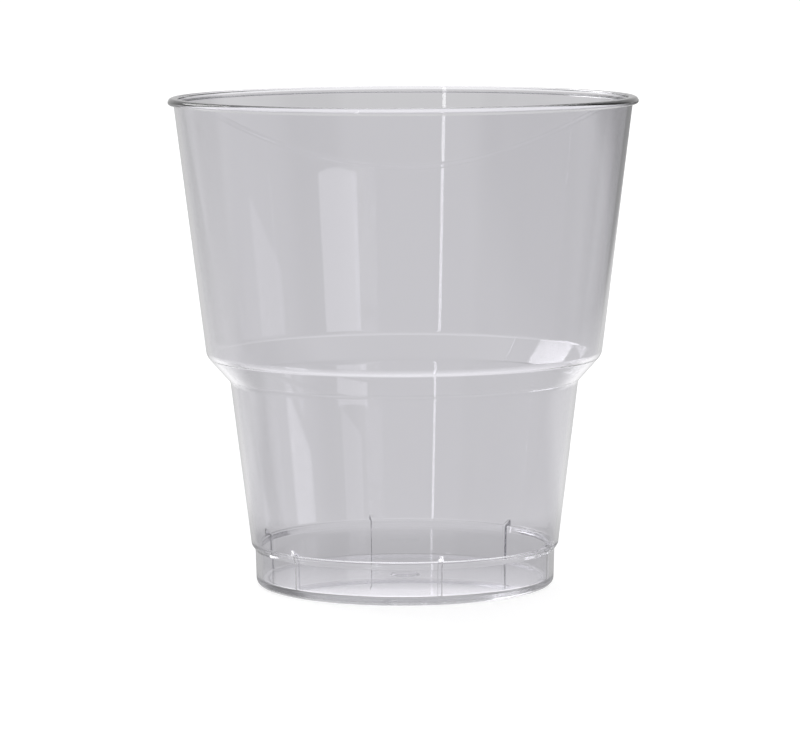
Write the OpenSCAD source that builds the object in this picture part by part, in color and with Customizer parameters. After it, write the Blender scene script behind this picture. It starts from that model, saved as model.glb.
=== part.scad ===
// Stepped drinking tumbler, moulded in one piece from clear plastic.
// Millimetres, Z up. The origin is the centre of the ring that the cup stands on.
// The outside is worked out downwards from the rim's diameter, one stretch of wall
// after the other, and the inside follows it at the thickness of the wall.

/* [Overall] */
// Diameter over the rim
rim_d = 80; // [74:0.5:92]
// Height from the table to the top of the rim
height = 83.6; // [74:0.1:96]

/* [Wall] */
// Thickness of the side wall, square to its surface
wall = 0.8; // [0.6:0.05:1.1]
// Lean of the side wall from upright, in degrees
draft = 7; // [5:0.1:8]

/* [Rim] */
// Height of the bead along the rim
bead_h = 1.3; // [0.9:0.05:1.6]
// How far the bead stands out from the wall below it
bead_out = 1; // [0.8:0.05:1.6]
// Rounding of the bead's lower edge, the rest of its height being the upper edge's
bead_low_round = 0.4; // [0.2:0.05:0.5]
// Rounding of the rim's edge towards the inside
lip_round = 0.3; // [0.1:0.05:0.5]
// Rounding of the corner between the bead and the wall
neck_round = 0.15; // [0.05:0.05:0.2]

/* [Shoulder] */
// Height of the shoulder's upper edge above the table
shoulder_z = 39.7; // [34:0.1:46]
// Height that the shoulder takes up
shoulder_h = 4.5; // [3.5:0.05:6]
// How much the shoulder takes off the radius
shoulder_in = 4; // [2.5:0.05:5]
// Bend radius of the shoulder's edges, on the hollow side of the bend
shoulder_bend = 0.5; // [0.2:0.05:1]

/* [Foot] */
// Height of the foot's outside wall
foot_h = 6.25; // [5:0.05:8]
// Height that the step above the foot takes up
step_h = 0.95; // [0.5:0.05:1.2]
// How much the step takes off the radius
step_in = 0.65; // [0.3:0.05:0.9]
// Rounding of the step's edges
step_round = 0.2; // [0.05:0.05:0.25]
// Thickness of the foot's wall, measured level
foot_wall = 1.1; // [0.9:0.05:1.3]
// Lean of the foot's wall from upright, in degrees
foot_draft = 1.6; // [0.5:0.1:3]
// Rounding of the foot's lower outside edge
foot_round = 1.4; // [0.8:0.05:1.5]
// Height of the ledge inside the cup, on top of the foot's wall
ledge_z = 7.5; // [7:0.1:9]

/* [Floor] */
// Thickness of the floor
floor_t = 1; // [0.8:0.05:1.3]
// Height of the floor's underside above the table
floor_lift = 0.6; // [0.4:0.05:1]
// Width of the ring below the floor that the cup stands on
ring_w = 2.1; // [2:0.05:2.6]
// Rounding of the ring's inside edge
ring_round = 0.3; // [0.1:0.05:0.35]

/* [Stacking ribs] */
// Number of ribs inside the foot, which keep stacked cups apart
rib_count = 6; // [3:1:12]
// Width of a rib
rib_w = 0.7; // [0.5:0.05:1.5]
// How far a rib stands in from the foot's wall
rib_out = 0.4; // [0.3:0.05:0.8]
// How far a rib rises above the ledge
rib_rise = 1; // [0.8:0.05:3]
// Angle from the X axis to the first rib, in degrees
rib_turn = 43.5; // [0:0.5:60]

/* [Gate] */
// Diameter of the dimple under the floor where the plastic was fed in
gate_d = 5; // [4:0.1:8]
// Depth of the dimple, and height of the low boss above it
gate_depth = 0.3; // [0.2:0.05:0.5]
// Diameter of the stub left in the dimple
stub_d = 1.2; // [0.8:0.1:2]
// Height of the stub
stub_h = 0.2; // [0.1:0.05:0.2]

/* [Hidden] */

// Largest turn between two points of a rounded corner, in degrees
arc_step = 10;
$fn = 180;

// Outside radii, from the rim down
rim_r = rim_d / 2;
neck_z = height - bead_h;
neck_r = rim_r - bead_out;
shoulder_top_r = neck_r - (neck_z - shoulder_z) * tan(draft);
shoulder_low_z = shoulder_z - shoulder_h;
shoulder_low_r = shoulder_top_r - shoulder_in;
step_z = foot_h + step_h;
step_r = shoulder_low_r - (shoulder_low_z - step_z) * tan(draft);
foot_top_r = step_r - step_in;
foot_low_r = foot_top_r - foot_h * tan(foot_draft);

// Inside of the foot and the floor
floor_z = floor_lift + floor_t;
ring_in_r = foot_low_r - ring_w;

// Lean of the shoulder from upright, and the wall's thickness measured level
shoulder_lean = atan(shoulder_in / shoulder_h);
wall_level = wall / cos(draft);

// Inside radius at the top of the rim, and rounding of the bead's upper edge
lip_r = neck_r + bead_h * tan(draft) - wall_level;
bead_top_round = min(bead_h - bead_low_round, rim_r - lip_r - lip_round);

// Radius of the lower wall's outside, and of the foot wall's inside, at a height
function lower_r(z) = shoulder_low_r - (shoulder_low_z - z) * tan(draft);
function foot_in_r(z) = foot_low_r - foot_wall + z * tan(foot_draft);

// Inside corner that keeps the wall's thickness where the lean changes from a to b
function inner_corner(r, z, a, b) =
    [r, z] + wall / cos((a - b) / 2) * [-cos((a + b) / 2), sin((a + b) / 2)];

// Direction from point a to point b
function direction(a, b) = (b - a) / norm(b - a);

// Points of an arc of radius r that rounds corner b between its neighbours a and c
function rounded_corner(a, b, c, r) =
    let (
        u = direction(b, a),
        v = direction(b, c),
        half = acos(u * v) / 2,
        centre = b + direction([0, 0], u + v) * r / sin(half),
        first = b + u * r / tan(half) - centre,
        turn = (180 - 2 * half) * sign(cross(v, u)),
        steps = ceil(abs(turn) / arc_step)
    )
    [
        for (i = [0:steps])
            let (angle = turn * i / steps)
            centre + [
                first[0] * cos(angle) - first[1] * sin(angle),
                first[0] * sin(angle) + first[1] * cos(angle)
            ]
    ];

// Closed path through corners given as [point, rounding]
function rounded_path(corners) =
    let (n = len(corners))
    [
        for (i = [0:n - 1])
            let (
                before = corners[(i + n - 1) % n][0],
                here = corners[i][0],
                after = corners[(i + 1) % n][0],
                r = corners[i][1]
            )
            each (r > 0 ? rounded_corner(before, here, after, r) : [here])
    ];

// The same path without any point that repeats the one before it
function without_repeats(path) =
    [
        for (i = [0:len(path) - 1])
            if (norm(path[i] - path[(i + len(path) - 1) % len(path)]) > 0.001)
                path[i]
    ];

// Underside of the floor, from the stub in the middle to the standing ring
underside = [
    [[0, floor_lift + gate_depth - stub_h], 0],
    [[stub_d / 2, floor_lift + gate_depth - stub_h], 0],
    [[stub_d / 2, floor_lift + gate_depth], 0],
    [[gate_d / 2 - gate_depth, floor_lift + gate_depth], 0],
    [[gate_d / 2, floor_lift], 0],
    [[ring_in_r, floor_lift], 0],
    [[ring_in_r, 0], ring_round]
];

// Outside of the cup, from the table to the top of the bead
outside = [
    [[foot_low_r, 0], foot_round],
    [[foot_top_r, foot_h], step_round],
    [[step_r, step_z], step_round],
    [[shoulder_low_r, shoulder_low_z], shoulder_bend],
    [[shoulder_top_r, shoulder_z], shoulder_bend + wall],
    [[neck_r, neck_z], neck_round],
    [[rim_r, neck_z], bead_low_round],
    [[rim_r, height], bead_top_round]
];

// Inside of the cup, from the rim down to the ledge and the floor
inside = [
    [[lip_r, height], lip_round],
    [inner_corner(shoulder_top_r, shoulder_z, draft, shoulder_lean), shoulder_bend],
    [inner_corner(shoulder_low_r, shoulder_low_z, shoulder_lean, draft), shoulder_bend + wall],
    [[lower_r(ledge_z) - wall_level, ledge_z], step_round],
    [[foot_in_r(ledge_z), ledge_z], step_round],
    [[foot_in_r(floor_z), floor_z], step_round],
    [[gate_d / 2, floor_z], 0],
    [[gate_d / 2 - gate_depth, floor_z + gate_depth], 0],
    [[0, floor_z + gate_depth], 0]
];

// The cup without its ribs, turned from one closed section
module shell() {
    rotate_extrude()
        polygon(without_repeats(rounded_path(concat(underside, outside, inside))));
}

// One upright rib against the foot's wall, its top sloping outwards past the ledge
module rib() {
    low_z = floor_z - floor_t / 2;
    top_z = ledge_z + rib_rise;
    translate([0, rib_w / 2, 0])
        rotate([90, 0, 0])
            linear_extrude(rib_w)
                polygon([
                    [foot_in_r(low_z) - rib_out, low_z],
                    [foot_in_r(low_z) + foot_wall / 2, low_z],
                    [foot_in_r(ledge_z) + foot_wall / 2, ledge_z],
                    [lower_r(top_z) - wall_level / 2, top_z],
                    [lower_r(top_z) - wall_level, top_z],
                    [foot_in_r(ledge_z) - rib_out, ledge_z]
                ]);
}

module tumbler() {
    color([0.84, 0.86, 0.9, 0.5])
        union() {
            shell();
            for (i = [0:rib_count - 1])
                rotate([0, 0, rib_turn + 360 / rib_count * i])
                    rib();
        }
}

tumbler();
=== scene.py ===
import math

import bpy
from mathutils import Matrix, Vector


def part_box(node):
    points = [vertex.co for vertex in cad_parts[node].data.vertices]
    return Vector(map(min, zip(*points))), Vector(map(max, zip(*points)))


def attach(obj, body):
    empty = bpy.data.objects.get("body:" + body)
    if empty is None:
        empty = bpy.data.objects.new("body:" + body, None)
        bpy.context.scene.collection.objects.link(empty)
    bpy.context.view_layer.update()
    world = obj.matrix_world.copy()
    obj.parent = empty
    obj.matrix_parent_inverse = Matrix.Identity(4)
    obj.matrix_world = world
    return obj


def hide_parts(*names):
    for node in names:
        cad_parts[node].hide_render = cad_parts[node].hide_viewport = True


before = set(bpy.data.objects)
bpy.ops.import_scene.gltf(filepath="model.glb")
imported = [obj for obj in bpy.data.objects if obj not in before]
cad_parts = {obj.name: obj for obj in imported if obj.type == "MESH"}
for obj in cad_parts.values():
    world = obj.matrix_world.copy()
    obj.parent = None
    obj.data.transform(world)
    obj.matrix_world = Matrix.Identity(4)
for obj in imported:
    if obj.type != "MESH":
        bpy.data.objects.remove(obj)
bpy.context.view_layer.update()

# Sizes of the cup, in metres, with the rim and the height taken from the frame

MM = 0.001
low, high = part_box("tumbler")
RIM_R = min(-low.x, high.x, -low.y, high.y)
HEIGHT = high.z
WALL = 0.8 * MM
DRAFT = math.radians(7)
BEAD_H = 1.2 * MM
BEAD_OUT = 1.0 * MM
BEAD_LOW_ROUND = 0.4 * MM
LIP_ROUND = 0.3 * MM
NECK_ROUND = 0.15 * MM
SHOULDER_Z = 39.7 * MM
SHOULDER_H = 4.5 * MM
SHOULDER_IN = 4.0 * MM
SHOULDER_BEND = 1.5 * MM
FOOT_H = 6.25 * MM
STEP_H = 0.95 * MM
STEP_IN = 0.65 * MM
STEP_ROUND = 0.2 * MM
FOOT_WALL = 1.1 * MM
FOOT_DRAFT = math.radians(1.6)
FOOT_ROUND = 1.4 * MM
LEDGE_Z = 7.5 * MM
FLOOR_T = 1.0 * MM
FLOOR_LIFT = 0.6 * MM
RING_W = 2.1 * MM
RING_ROUND = 0.3 * MM
RIB_COUNT = 6
RIB_W = 0.7 * MM
RIB_OUT = 0.4 * MM
RIB_RISE = 1.0 * MM
RIB_ROUND = 0.4 * MM
RIB_FLANK = 0.14 * MM
RIB_TURN = math.radians(43.5)
GATE_R = 2.5 * MM
GATE_DEPTH = 0.3 * MM
GATE_ROUND = 0.15 * MM
STUB_R = 0.6 * MM
STUB_H = 0.2 * MM
STUB_ROUND = 0.05 * MM

# Fineness of the mesh

ARC_STEP = math.radians(5.5)
STRAIGHT_STEP = 4 * MM
FLANK_STEPS = 6
CREST_STEPS = 3
PLAIN_STEPS = 32
SAME_PLACE = 0.001 * MM

# Radii that follow from the sizes, from the rim down

NECK_Z = HEIGHT - BEAD_H
NECK_R = RIM_R - BEAD_OUT
SHOULDER_TOP_R = NECK_R - (NECK_Z - SHOULDER_Z) * math.tan(DRAFT)
SHOULDER_LOW_Z = SHOULDER_Z - SHOULDER_H
SHOULDER_LOW_R = SHOULDER_TOP_R - SHOULDER_IN
SHOULDER_LEAN = math.atan(SHOULDER_IN / SHOULDER_H)
STEP_Z = FOOT_H + STEP_H
WALL_LEVEL = WALL / math.cos(DRAFT)
FLOOR_Z = FLOOR_LIFT + FLOOR_T


def lower_r(z):
    """Outside radius of the lower wall at a height."""
    return SHOULDER_LOW_R - (SHOULDER_LOW_Z - z) * math.tan(DRAFT)


FOOT_TOP_R = lower_r(STEP_Z) - STEP_IN
FOOT_LOW_R = FOOT_TOP_R - FOOT_H * math.tan(FOOT_DRAFT)


def foot_in_r(z):
    """Inside radius of the foot's wall at a height."""
    return FOOT_LOW_R - FOOT_WALL + z * math.tan(FOOT_DRAFT)


def inner_corner(r, z, lean_above, lean_below):
    """Inside corner that keeps the wall's thickness where its lean changes."""
    middle = (lean_above + lean_below) / 2
    reach = WALL / math.cos((lean_above - lean_below) / 2)
    return r - reach * math.cos(middle), z + reach * math.sin(middle)


def section_corners(rib):
    """Corners (radius, height, rounding) of the cup's section, from the axis under the floor,
    up the outside and down the inside, for a plain stretch (rib = 0) or through a rib (rib = 1)."""
    top_z = LEDGE_Z + rib * RIB_RISE
    top_round = RIB_ROUND if rib else STEP_ROUND
    shoulder_in_top = inner_corner(SHOULDER_TOP_R, SHOULDER_Z, DRAFT, SHOULDER_LEAN)
    shoulder_in_low = inner_corner(SHOULDER_LOW_R, SHOULDER_LOW_Z, SHOULDER_LEAN, DRAFT)
    return [
        (0, FLOOR_LIFT + GATE_DEPTH - STUB_H, 0),
        (STUB_R, FLOOR_LIFT + GATE_DEPTH - STUB_H, STUB_ROUND),
        (STUB_R, FLOOR_LIFT + GATE_DEPTH, STUB_ROUND),
        (GATE_R - GATE_DEPTH, FLOOR_LIFT + GATE_DEPTH, GATE_ROUND),
        (GATE_R, FLOOR_LIFT, GATE_ROUND),
        (FOOT_LOW_R - RING_W, FLOOR_LIFT, GATE_ROUND),
        (FOOT_LOW_R - RING_W, 0, RING_ROUND),
        (FOOT_LOW_R, 0, FOOT_ROUND),
        (FOOT_TOP_R, FOOT_H, STEP_ROUND),
        (lower_r(STEP_Z), STEP_Z, STEP_ROUND),
        (SHOULDER_LOW_R, SHOULDER_LOW_Z, SHOULDER_BEND),
        (SHOULDER_TOP_R, SHOULDER_Z, SHOULDER_BEND + WALL),
        (NECK_R, NECK_Z, NECK_ROUND),
        (RIM_R, NECK_Z, BEAD_LOW_ROUND),
        (RIM_R, HEIGHT, BEAD_H - BEAD_LOW_ROUND),
        (NECK_R + BEAD_H * math.tan(DRAFT) - WALL_LEVEL, HEIGHT, LIP_ROUND),
        (*shoulder_in_top, SHOULDER_BEND),
        (*shoulder_in_low, SHOULDER_BEND + WALL),
        (lower_r(top_z) - WALL_LEVEL, top_z, STEP_ROUND),
        (foot_in_r(LEDGE_Z) - rib * RIB_OUT, LEDGE_Z, top_round),
        (foot_in_r(FLOOR_Z) - rib * RIB_OUT, FLOOR_Z, STEP_ROUND),
        (GATE_R, FLOOR_Z, GATE_ROUND),
        (GATE_R - GATE_DEPTH, FLOOR_Z + GATE_DEPTH, GATE_ROUND),
        (0, FLOOR_Z + GATE_DEPTH, 0),
    ]


def corner_turn(before, here, after):
    """Angle by which the section turns at a corner, positive to the left."""
    ahead = math.atan2(after[1] - here[1], after[0] - here[0])
    behind = math.atan2(here[1] - before[1], here[0] - before[0])
    return (ahead - behind + math.pi) % (2 * math.pi) - math.pi


def step_counts(corners):
    """Steps along each straight stretch and round each corner."""
    counts = []
    for i in range(1, len(corners)):
        length = math.dist(corners[i - 1][:2], corners[i][:2])
        arc = 0
        if i < len(corners) - 1:
            arc = math.ceil(abs(corner_turn(*corners[i - 1:i + 2])) / ARC_STEP)
        counts.append((math.ceil(length / STRAIGHT_STEP), arc))
    return counts


def section_points(corners, counts):
    """Points (radius, height, direction of travel) of the section, with its corners rounded."""
    points = []
    start = corners[0][:2]
    for i, (straight, arc) in enumerate(counts, 1):
        here = corners[i]
        travel = math.atan2(here[1] - corners[i - 1][1], here[0] - corners[i - 1][0])
        turn = corner_turn(*corners[i - 1:i + 2]) if arc else 0
        setback = here[2] * math.tan(abs(turn) / 2)
        end = (here[0] - setback * math.cos(travel), here[1] - setback * math.sin(travel))
        if math.dist(start, end) > SAME_PLACE:
            for k in range(straight):
                share = k / straight
                r = start[0] + (end[0] - start[0]) * share
                z = start[1] + (end[1] - start[1]) * share
                points.append((r, z, travel))
        side = math.copysign(here[2], turn)
        centre = (end[0] - side * math.sin(travel), end[1] + side * math.cos(travel))
        for k in range(arc):
            angle = travel + turn * k / arc
            r = centre[0] + side * math.sin(angle)
            z = centre[1] - side * math.cos(angle)
            points.append((r, z, angle))
        angle = travel + turn
        start = (centre[0] + side * math.sin(angle), centre[1] - side * math.cos(angle))
    points.append((*start, travel))
    return points


def columns_round_the_cup():
    """Columns (angle, share of the rib's section, change of that share for each radian)."""
    radius = foot_in_r(LEDGE_Z)
    half = (RIB_W - RIB_FLANK) / 2
    flank = []
    for k in range(FLANK_STEPS + 1):
        t = k / FLANK_STEPS
        share = t * t * (3 - 2 * t)
        slope = 6 * t * (1 - t) / RIB_FLANK * radius
        flank.append((-(half + RIB_FLANK * (1 - t)) / radius, share, slope))
    crest = [(half * (2 * k / CREST_STEPS - 1) / radius, 1, 0) for k in range(1, CREST_STEPS)]
    rib = flank + crest + [(-angle, share, -slope) for angle, share, slope in reversed(flank)]
    pitch = 2 * math.pi / RIB_COUNT
    gap = pitch + 2 * flank[0][0]
    columns = []
    for n in range(RIB_COUNT):
        middle = RIB_TURN + n * pitch
        columns += [(middle + angle, share, slope) for angle, share, slope in rib]
        edge = middle - flank[0][0]
        columns += [(edge + gap * k / PLAIN_STEPS, 0, 0) for k in range(1, PLAIN_STEPS)]
    return columns


def build_cup():
    """One closed mesh turned round the axis, with the ribs swelling out of it."""
    counts = step_counts(section_corners(0))
    plain = section_points(section_corners(0), counts)
    ribbed = section_points(section_corners(1), counts)
    columns = columns_round_the_cup()
    rings = len(plain) - 2
    verts = [(0, 0, plain[0][1]), (0, 0, plain[-1][1])]
    normals = [(0, 0, -1), (0, 0, 1)]
    for angle, share, slope in columns:
        cos, sin = math.cos(angle), math.sin(angle)
        for (r0, z0, travel0), (r1, z1, travel1) in zip(plain[1:-1], ribbed[1:-1]):
            r = r0 + (r1 - r0) * share
            z = z0 + (z1 - z0) * share
            verts.append((r * cos, r * sin, z))
            up_r = math.cos(travel0) * (1 - share) + math.cos(travel1) * share
            up_z = math.sin(travel0) * (1 - share) + math.sin(travel1) * share
            grow_r, grow_z = (r1 - r0) * slope, (z1 - z0) * slope
            along = Vector((up_r * cos, up_r * sin, up_z))
            around = Vector((grow_r * cos - r * sin, grow_r * sin + r * cos, grow_z))
            normals.append(tuple(around.cross(along).normalized()))
    faces = []
    for i in range(len(columns)):
        a = 2 + i * rings
        b = 2 + (i + 1) % len(columns) * rings
        faces.append((0, b, a))
        faces += [(a + k, b + k, b + k + 1, a + k + 1) for k in range(rings - 1)]
        faces.append((1, a + rings - 1, b + rings - 1))
    mesh = bpy.data.meshes.new("cup")
    mesh.from_pydata(verts, [], faces)
    mesh.polygons.foreach_set("use_smooth", [True] * len(mesh.polygons))
    mesh.normals_split_custom_set_from_vertices(normals)
    cup = bpy.data.objects.new("cup", mesh)
    bpy.context.scene.collection.objects.link(cup)
    return cup


def add_node(tree, kind, **values):
    """A shader node with its inputs set by name."""
    made = tree.nodes.new(kind)
    for name, value in values.items():
        made.inputs[name.replace("_", " ")].default_value = value
    return made


def feed(tree, value, socket):
    """Set a socket to a number, or link another node's output to it."""
    if isinstance(value, (int, float)):
        socket.default_value = value
    else:
        tree.links.new(value, socket)


def math_node(tree, operation, first, second):
    """The result of one sum on two values."""
    made = tree.nodes.new("ShaderNodeMath")
    made.operation = operation
    feed(tree, first, made.inputs[0])
    feed(tree, second, made.inputs[1])
    return made.outputs["Value"]


def mixed(tree, share, first, second):
    """A blend that is the first value at share 0 and the second at share 1."""
    made = tree.nodes.new("ShaderNodeMix")
    feed(tree, share, made.inputs["Factor"])
    feed(tree, first, made.inputs["A"])
    feed(tree, second, made.inputs["B"])
    return made.outputs["Result"]


def ranged(tree, value, from_low, from_high, to_low, to_high):
    """A value carried over from one range to another, and held at the ends."""
    made = tree.nodes.new("ShaderNodeMapRange")
    feed(tree, value, made.inputs["Value"])
    feed(tree, from_low, made.inputs["From Min"])
    feed(tree, from_high, made.inputs["From Max"])
    feed(tree, to_low, made.inputs["To Min"])
    feed(tree, to_high, made.inputs["To Max"])
    return made.outputs["Result"]


def graded(tree, place, stops):
    """A value that runs through the stops (place, value) along a coordinate."""
    start, end = stops[0][0], stops[-1][0]
    made = tree.nodes.new("ShaderNodeValToRGB")
    ramp = made.color_ramp.elements
    while len(ramp) < len(stops):
        ramp.new(0.5)
    for stop, (at, value) in zip(ramp, stops):
        stop.position = (at - start) / (end - start)
        stop.color = (value, value, value, 1)
    tree.links.new(ranged(tree, place, start, end, 0, 1), made.inputs["Fac"])
    return made.outputs["Color"]


# Plastic: clear and polished, with faint flow waves and a slight haze in places

PLASTIC_TINT = (0.957, 0.951, 0.978, 1)
PLASTIC_IOR = 1.59
HAZE_SCALE = 90
HAZE_DETAIL = 3
HAZE_FROM = 0.45
HAZE_TO = 0.8
ROUGHNESS_CLEAR = 0.004
ROUGHNESS_HAZY = 0.03
WAVE_SCALE = 40
WAVE_DETAIL = 1
WAVE_STRENGTH = 0.1
WAVE_HEIGHT = 0.01 * MM
ABSORBED_TINT = (0.6, 0.6, 0.64, 1)
ABSORBED_DENSITY = 13


def clear_plastic():
    """The cup's plastic, which takes up a little light on a long way through it."""
    material = bpy.data.materials.new("clear_plastic")
    material.use_nodes = True
    tree = material.node_tree
    shader = tree.nodes["Principled BSDF"]
    shader.inputs["Base Color"].default_value = PLASTIC_TINT
    shader.inputs["Transmission Weight"].default_value = 1
    shader.inputs["IOR"].default_value = PLASTIC_IOR
    place = tree.nodes.new("ShaderNodeTexCoord").outputs["Object"]
    haze = add_node(tree, "ShaderNodeTexNoise", Scale=HAZE_SCALE, Detail=HAZE_DETAIL)
    tree.links.new(place, haze.inputs["Vector"])
    roughness = ranged(tree, haze.outputs["Fac"], HAZE_FROM, HAZE_TO, ROUGHNESS_CLEAR, ROUGHNESS_HAZY)
    tree.links.new(roughness, shader.inputs["Roughness"])
    waves = add_node(tree, "ShaderNodeTexNoise", Scale=WAVE_SCALE, Detail=WAVE_DETAIL)
    tree.links.new(place, waves.inputs["Vector"])
    bump = add_node(tree, "ShaderNodeBump", Strength=WAVE_STRENGTH, Distance=WAVE_HEIGHT)
    tree.links.new(waves.outputs["Fac"], bump.inputs["Height"])
    tree.links.new(bump.outputs["Normal"], shader.inputs["Normal"])
    absorb = add_node(tree, "ShaderNodeVolumeAbsorption", Color=ABSORBED_TINT, Density=ABSORBED_DENSITY)
    tree.links.new(absorb.outputs["Volume"], tree.nodes["Material Output"].inputs["Volume"])
    return material


cup = build_cup()
cup.data.materials.append(clear_plastic())
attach(cup, "root")
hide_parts("tumbler")

# Floor: paper that the lamps and a lift of its own make white to the camera, with the cup's shadow
# kept. Through the plastic and mirrored in it, the floor is another thing: a table that glows with
# painted light and shade and a painted gloss. It is grey round the cup, with painted shade in front of
# and beside it and to the right, a painted shadow of the cup under its rear, and a painted pool of
# light, brighter than white, under its front. The pairs of numbers are places on the table, in metres
# from the cup's axis, and the table's level there.

FLOOR_SIZE = 14
FLOOR_DROP = 0.02 * MM
PAPER_TINT = (0.5, 0.5, 0.505, 1)
PAPER_ROUGHNESS = 0.9
LIFT_NEAR = 0.8
LIFT_FAR = 0.9
LIFT_FROM = 0.3
LIFT_TO = 3.0
# Painted shadow of the cup under its rear and a painted pool of light, brighter than white, under its front
PAINTED_SHADOW_AND_LIGHT_UNDER_CUP = (
    (-0.026, 1.5), (-0.013, 1.35), (-0.009, 0.95), (-0.005, 0.8), (0.008, 0.62), (0.015, 0.4), (0.0245, 0.33))
# Painted shade, darker in front of and beside the cup than behind it
PAINTED_SHADE_AROUND_CUP = ((-0.4, 0.6), (-0.1, 0.5), (0.055, 0.5), (0.075, 0.66), (0.14, 0.655), (1.2, 0.63))
# Painted shade, much darker to the right and a little darker far to the left
PAINTED_SHADE_TO_SIDES = ((-0.4, 0.9), (-0.15, 1.0), (0.14, 1.0), (0.21, 0.5), (0.35, 0.4))

# Painted gloss, a painted reflection: behind the cup, the table's glow turns from grey to white between
# two angles of sight, which are given by their sines

GREY_BELOW = 0.14
WHITE_ABOVE = 0.3
TABLE_WHITE = 1.0
WHITE_FROM = ((0.026, 0.0), (0.06, 1.0))


def table_level(tree, place, away):
    """How bright the plastic shows the table, by the place on it and the distance from the cup's axis, with
    painted shade, a painted shadow and pool of light under the cup, and a painted gloss.
    """
    sides = tree.nodes.new("ShaderNodeSeparateXYZ")
    tree.links.new(place, sides.inputs["Vector"])
    across, back = sides.outputs["X"], sides.outputs["Y"]
    # Painted gloss: grey when the table is seen flat, white when it is seen steeply
    painted_gloss = add_node(tree, "ShaderNodeLayerWeight", Blend=0.5)
    steep = ranged(tree, painted_gloss.outputs["Facing"], 1 - GREY_BELOW, 1 - WHITE_ABOVE, 0, 1)
    whiteness = math_node(tree, "MULTIPLY", steep, graded(tree, back, WHITE_FROM))
    # Painted shadow and pool of light under the cup, painted shade round it
    covered = math_node(tree, "LESS_THAN", away, FOOT_LOW_R)
    grey = mixed(tree, covered, graded(tree, back, PAINTED_SHADE_AROUND_CUP), graded(tree, back, PAINTED_SHADOW_AND_LIGHT_UNDER_CUP))
    table = mixed(tree, whiteness, grey, TABLE_WHITE)
    # Painted shade to the sides
    return math_node(tree, "MULTIPLY", table, graded(tree, across, PAINTED_SHADE_TO_SIDES))


def floor_paper():
    """The floor's material: paper for the camera and for shadows, a table glowing with painted light and
    shade for the plastic.
    """
    material = bpy.data.materials.new("paper")
    material.use_nodes = True
    tree = material.node_tree
    path = tree.nodes.new("ShaderNodeLightPath").outputs
    place = tree.nodes.new("ShaderNodeTexCoord").outputs["Object"]
    length = tree.nodes.new("ShaderNodeVectorMath")
    length.operation = "LENGTH"
    tree.links.new(place, length.inputs[0])
    away = length.outputs["Value"]
    shader = tree.nodes["Principled BSDF"]
    shader.inputs["Base Color"].default_value = PAPER_TINT
    shader.inputs["Roughness"].default_value = PAPER_ROUGHNESS
    shader.inputs["Specular IOR Level"].default_value = 0
    shader.inputs["Emission Color"].default_value = (1, 1, 1, 1)
    lift = ranged(tree, away, LIFT_FROM, LIFT_TO, LIFT_NEAR, LIFT_FAR)
    lifted = math_node(tree, "MULTIPLY", path["Is Camera Ray"], lift)
    tree.links.new(lifted, shader.inputs["Emission Strength"])
    glow = tree.nodes.new("ShaderNodeEmission")
    tree.links.new(table_level(tree, place, away), glow.inputs["Strength"])
    by_plastic = math_node(tree, "MAXIMUM", path["Is Transmission Ray"], path["Is Glossy Ray"])
    mix = tree.nodes.new("ShaderNodeMixShader")
    tree.links.new(by_plastic, mix.inputs["Fac"])
    tree.links.new(shader.outputs["BSDF"], mix.inputs[1])
    tree.links.new(glow.outputs["Emission"], mix.inputs[2])
    tree.links.new(mix.outputs["Shader"], tree.nodes["Material Output"].inputs["Surface"])
    return material


def floor_sheet():
    """The square floor, a hair below the cup."""
    half = FLOOR_SIZE / 2
    mesh = bpy.data.meshes.new("floor")
    corners = [(-half, -half), (half, -half), (half, half), (-half, half)]
    mesh.from_pydata([(x, y, -FLOOR_DROP) for x, y in corners], [], [(0, 1, 2, 3)])
    mesh.materials.append(floor_paper())
    sheet = bpy.data.objects.new("floor", mesh)
    bpy.context.scene.collection.objects.link(sheet)
    return sheet


floor = floor_sheet()

# Room: white to the camera. The plastic shows a grey backdrop, dimmer on the camera's side, whose
# level changes from left to right, and the floor is lit at a level of its own.

BACKDROP = 0.65
CAMERA_SIDE = 0.45
DIM_FROM = 0.1
DIM_TO = -0.3
SIDES = (
    (-1.0, 0.7), (-0.84, 0.8), (-0.79, 0.6), (-0.7, 0.6), (-0.64, 1.0), (0.5, 1.0), (0.62, 0.4), (0.86, 0.3),
    (0.95, 1.0))
DIFFUSE_LEVEL = 0.42


def studio_room():
    """The world, with a level for each direction."""
    world = bpy.data.worlds.new("studio")
    world.use_nodes = True
    tree = world.node_tree
    path = tree.nodes.new("ShaderNodeLightPath").outputs
    place = tree.nodes.new("ShaderNodeTexCoord")
    sides = tree.nodes.new("ShaderNodeSeparateXYZ")
    tree.links.new(place.outputs["Generated"], sides.inputs["Vector"])
    behind = ranged(tree, sides.outputs["Y"], DIM_TO, DIM_FROM, CAMERA_SIDE, BACKDROP)
    room = math_node(tree, "MULTIPLY", behind, graded(tree, sides.outputs["X"], SIDES))
    ambient = ranged(tree, path["Is Diffuse Ray"], 0, 1, room, DIFFUSE_LEVEL)
    level = ranged(tree, path["Is Camera Ray"], 0, 1, ambient, 1)
    background = tree.nodes["Background"]
    background.inputs["Color"].default_value = (1, 1, 1, 1)
    tree.links.new(level, background.inputs["Strength"])
    return world


bpy.context.scene.world = studio_room()


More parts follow.
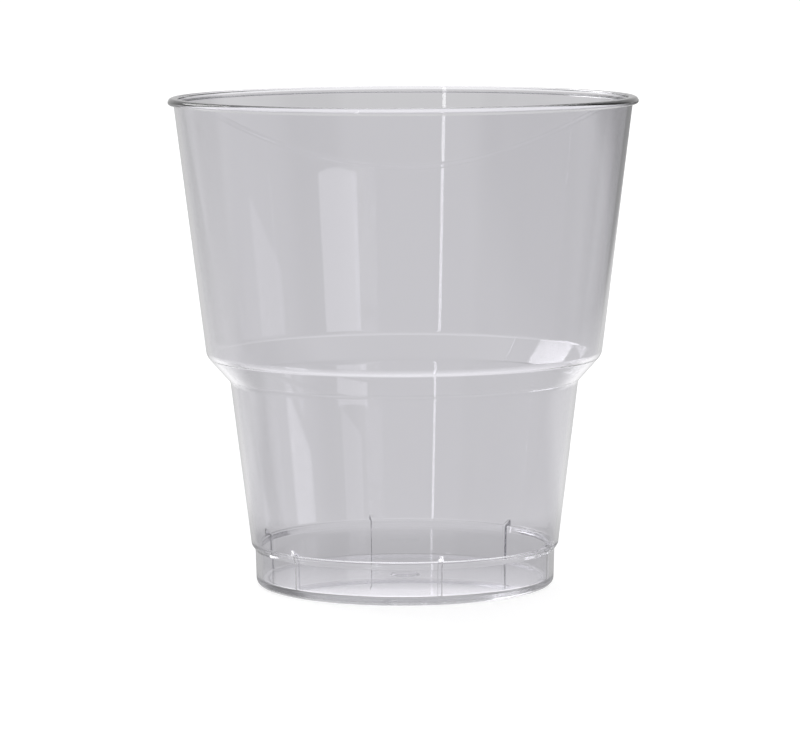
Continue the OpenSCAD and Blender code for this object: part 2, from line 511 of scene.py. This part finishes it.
def softbox(name, azimuth, distance, middle, aim, width, length, radiance, tilt=0):
    """A rectangular lamp round the cup, with its azimuth in degrees from the camera's side to the left,
    the heights of its middle and of the point that it faces, and its tilt in degrees."""
    lamp = bpy.data.lights.new(name, "AREA")
    lamp.shape = "RECTANGLE"
    lamp.size = width
    lamp.size_y = length
    lamp.energy = radiance * math.pi * width * length
    made = bpy.data.objects.new(name, lamp)
    angle = math.radians(azimuth)
    place = Vector((-distance * math.sin(angle), -distance * math.cos(angle), middle))
    made.location = place
    facing = (Vector((0, 0, aim)) - place).to_track_quat("-Z", "Y").to_matrix()
    made.rotation_euler = (facing @ Matrix.Rotation(math.radians(tilt), 3, "Z")).to_euler()
    made.visible_camera = False
    bpy.context.scene.collection.objects.link(made)
    return made


# Lamps: a large one at the back left, a strip whose mirror image is the bright upright line, four
# low ones whose mirror images are the bands on the left, and one behind that isn't seen through
# the plastic

softbox(
    "key_softbox", azimuth=136, distance=1.6, middle=1.0, aim=0.05, width=0.8, length=0.8, radiance=2.9)
softbox(
    "strip", azimuth=22, distance=1.5, middle=0.45, aim=0.45, width=0.045, length=0.88, radiance=3)
softbox(
    "right_softbox_front", azimuth=-37.8, distance=1.2, middle=0.224, aim=0.224, width=0.48, length=0.11,
    radiance=1.1, tilt=-2.2)
softbox(
    "right_softbox_front_low", azimuth=-39.7, distance=1.2, middle=0.11, aim=0.11, width=0.31, length=0.1,
    radiance=0.5)
softbox(
    "right_softbox_side", azimuth=-87.8, distance=1.2, middle=0.15, aim=0.15, width=0.42, length=0.07,
    radiance=0.42)
softbox(
    "right_softbox_side_low", azimuth=-84.5, distance=1.2, middle=0.055, aim=0.055, width=0.4, length=0.1,
    radiance=1.1)
back_softbox = softbox(
    "back_softbox", azimuth=190, distance=1.0, middle=1.5, aim=0.05, width=1.2, length=1.0, radiance=1.5)
back_softbox.visible_transmission = False

# Camera, at the photograph's angle

CAMERA_BACK = 751.06 * MM
CAMERA_UP = 119.67 * MM
CAMERA_PITCH = math.radians(6.248)
CAMERA_ROLL = math.radians(0.24)
FOCAL_PIXELS = 4418.6
IMAGE_W = 800
AXIS_RIGHT_PIXELS = 4.2
SENSOR_WIDTH = 36
SIGHT_END = 100

camera = bpy.data.objects.new("camera", bpy.data.cameras.new("camera"))
camera.location = (0, -CAMERA_BACK, CAMERA_UP)
aim = Matrix.Rotation(math.pi / 2 - CAMERA_PITCH, 3, "X") @ Matrix.Rotation(-CAMERA_ROLL, 3, "Z")
camera.rotation_euler = aim.to_euler()
camera.data.sensor_width = SENSOR_WIDTH
camera.data.lens = FOCAL_PIXELS * SENSOR_WIDTH / IMAGE_W
camera.data.shift_x = -AXIS_RIGHT_PIXELS / IMAGE_W
camera.data.clip_end = SIGHT_END
bpy.context.scene.collection.objects.link(camera)
bpy.context.scene.camera = camera

# Light paths long enough for the many surfaces of clear walls

BOUNCES = 96

bpy.context.scene.view_settings.view_transform = "Standard"
bpy.context.scene.cycles.max_bounces = BOUNCES
bpy.context.scene.cycles.transmission_bounces = BOUNCES
bpy.context.scene.cycles.glossy_bounces = BOUNCES
